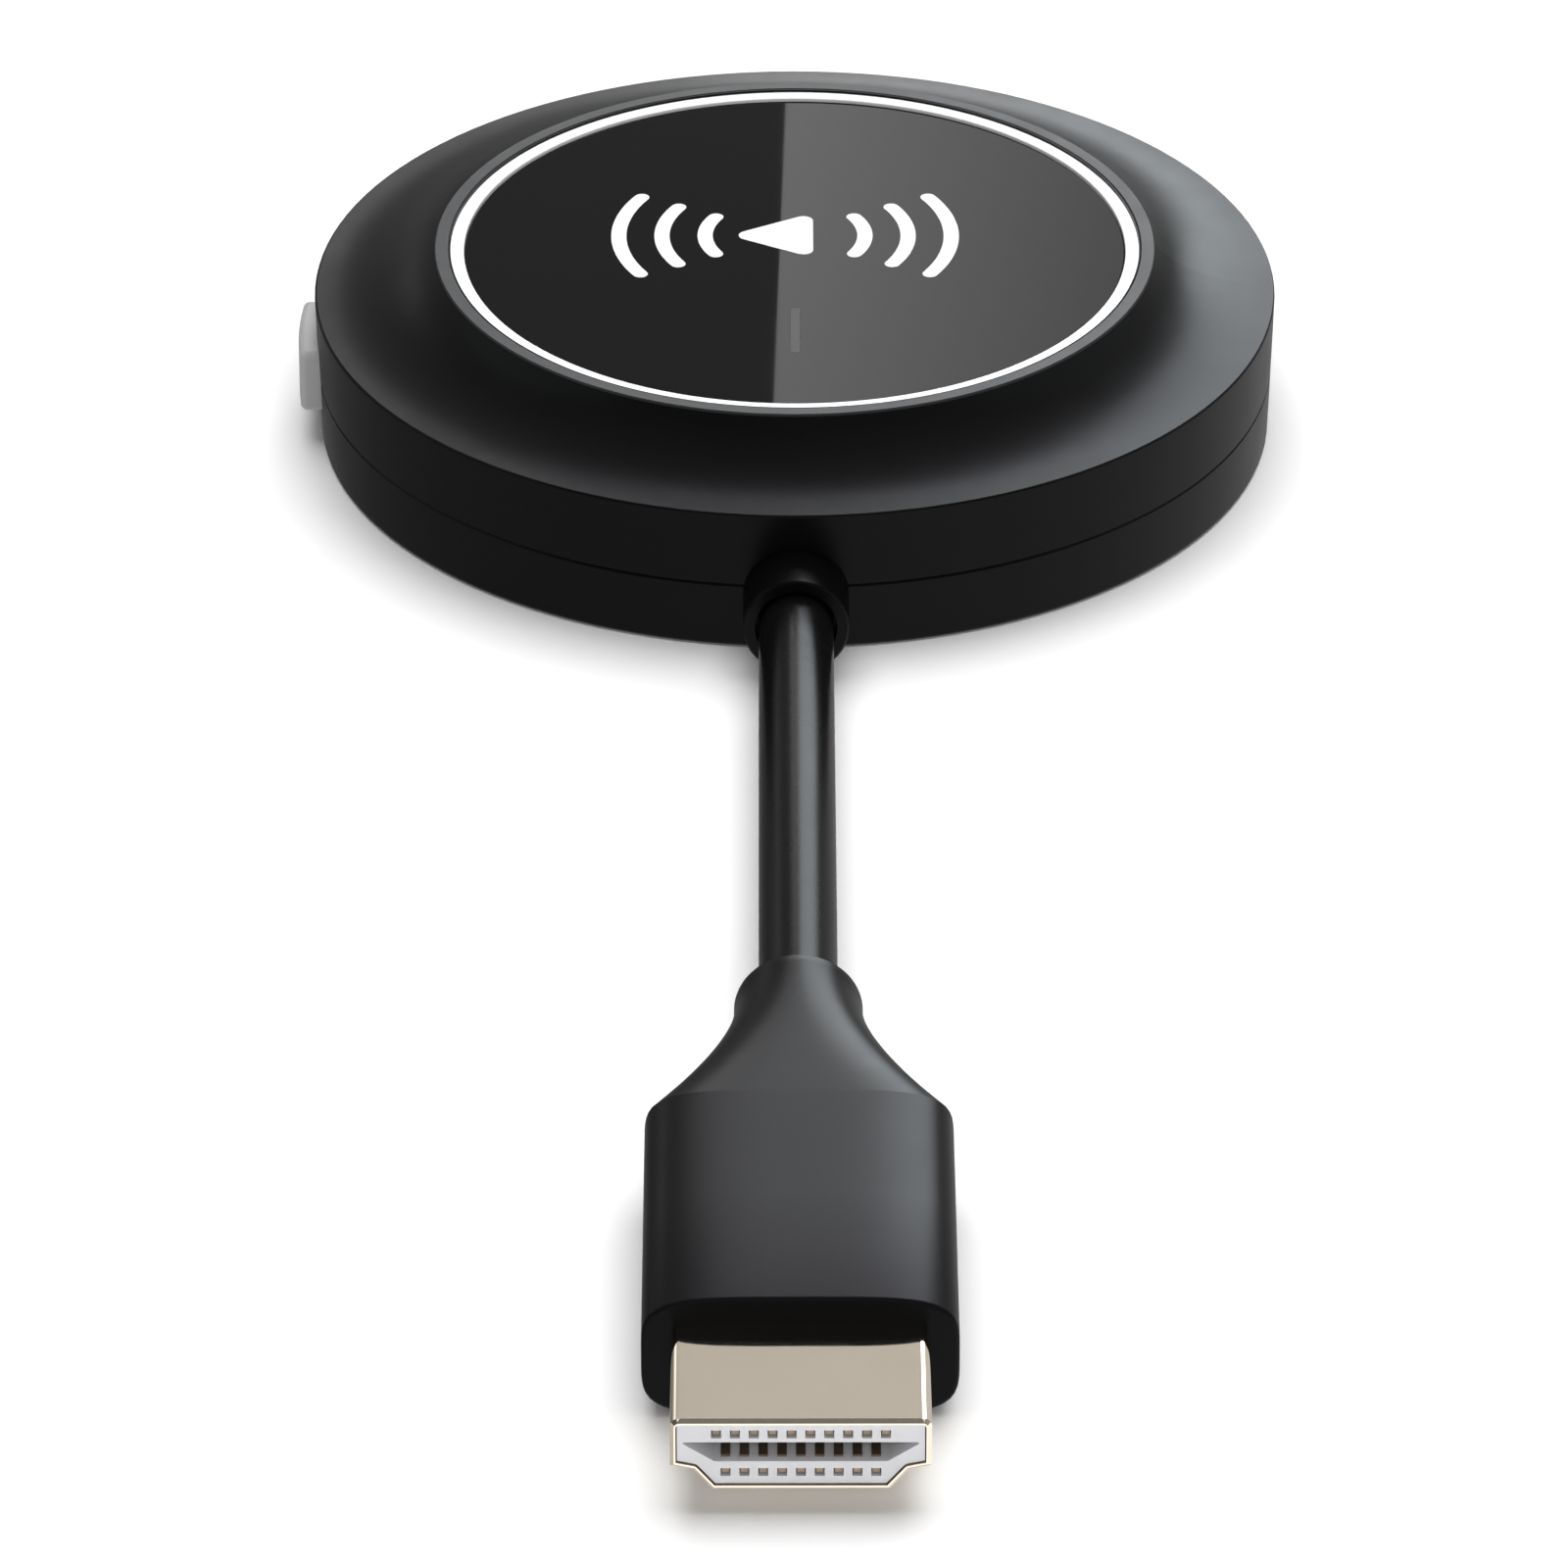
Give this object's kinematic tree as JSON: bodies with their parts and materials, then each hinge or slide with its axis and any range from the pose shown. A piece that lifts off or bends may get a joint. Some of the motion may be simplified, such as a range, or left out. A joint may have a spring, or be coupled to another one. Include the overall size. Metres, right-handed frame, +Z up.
{
  "type": "streaming media player",
  "caption": "Round puck-shaped streaming media player with a hollowed top round a glossy disc, a side push button and a short captive cable ending in a flat HDMI type A plug.",
  "frame": {"origin": "centre of the puck's underside, on the surface that it stands on", "axes": "+Z up through the puck, -Y out along the cable to the plug's mouth, -X towards the push button, +Y towards the power socket"},
  "size_m": [0.0611, 0.1532, 0.0122],
  "materials": {
    "housing_black": "satin moulded ABS, very fine grain",
    "label_dark": "blank printed polyester film, matte",
    "bezel_grey": "satin anodised grey trim ring",
    "accent_white": "bright white diffuser ring, smooth",
    "adhesive_clear": "clear double-sided adhesive film",
    "glass_black": "black back-printed cover window, mirror gloss",
    "status_lens": "smoked translucent status window",
    "light_guide_clear": "clear polycarbonate light guide",
    "board_green": "solder-masked glass-epoxy board",
    "chip_black": "moulded epoxy chip package",
    "ferrite_grey": "pressed ferrite",
    "capacitor_tan": "fired ceramic with tinned ends",
    "stamped_steel": "stamped tinned steel",
    "led_white": "clear encapsulated LED",
    "connector_white": "ivory nylon header",
    "pad_blue": "soft silicone thermal pad",
    "spreader_aluminium": "stamped aluminium",
    "screw_steel": "zinc-plated steel screws",
    "antenna_copper": "copper on polyimide film",
    "button_grey": "light grey satin moulded plastic",
    "switch_black": "moulded nylon",
    "socket_black": "moulded LCP",
    "contact_gold": "gold-plated contacts",
    "soft_black": "satin moulded TPE",
    "cable_black": "satin extruded PVC jacket",
    "lead_red": "PVC insulated conductors",
    "plug_gold": "pale champagne-gold plated stamped steel",
    "insulator_grey": "light grey moulded LCP",
    "contact_brown": "dull copper alloy contacts",
    "inner_mold_white": "moulded polypropylene core",
    "overmold_black": "satin moulded TPE"
  },
  "bodies": {
    "root": {"bottom_shell": "housing_black", "top_shell": "housing_black", "underside_label": "label_dark", "bezel_ring": "bezel_grey", "accent_ring": "accent_white", "glass_adhesive": "adhesive_clear", "cover_glass": "glass_black", "status_window": "status_lens", "light_guide": "light_guide_clear", "main_board": "board_green", "processor": "chip_black", "memory_chip": "chip_black", "flash_chip": "chip_black", "wireless_chip": "chip_black", "power_inductors": "ferrite_grey", "capacitors": "capacitor_tan", "crystal": "stamped_steel", "status_led": "led_white", "cable_header": "connector_white", "wireless_shield": "stamped_steel", "thermal_pad": "pad_blue", "heat_spreader": "spreader_aluminium", "board_screws": "screw_steel", "antenna_right": "antenna_copper", "antenna_left": "antenna_copper", "switch_body": "stamped_steel", "power_socket_shell": "stamped_steel", "power_socket_tongue": "socket_black", "power_socket_contacts": "contact_gold", "strain_relief": "soft_black", "cable": "cable_black", "conductor_leads": "lead_red", "plug_shell": "plug_gold", "plug_insulator": "insulator_grey", "upper_contacts": "contact_brown", "lower_contacts": "contact_brown", "upper_blades": "contact_brown", "lower_blades": "contact_brown", "plug_inner_mold": "inner_mold_white", "plug_overmold": "overmold_black"},
    "button": {"side_button": "button_grey", "switch_plunger": "switch_black"}
  },
  "joints": [
    {"name": "button_press", "type": "slide", "parent": "root", "child": "button", "axis": [1, 0, 0], "range_m": [0, 0.0003], "stiffness_N_per_m": 4000, "springref_m": -0.0001}
  ]
}
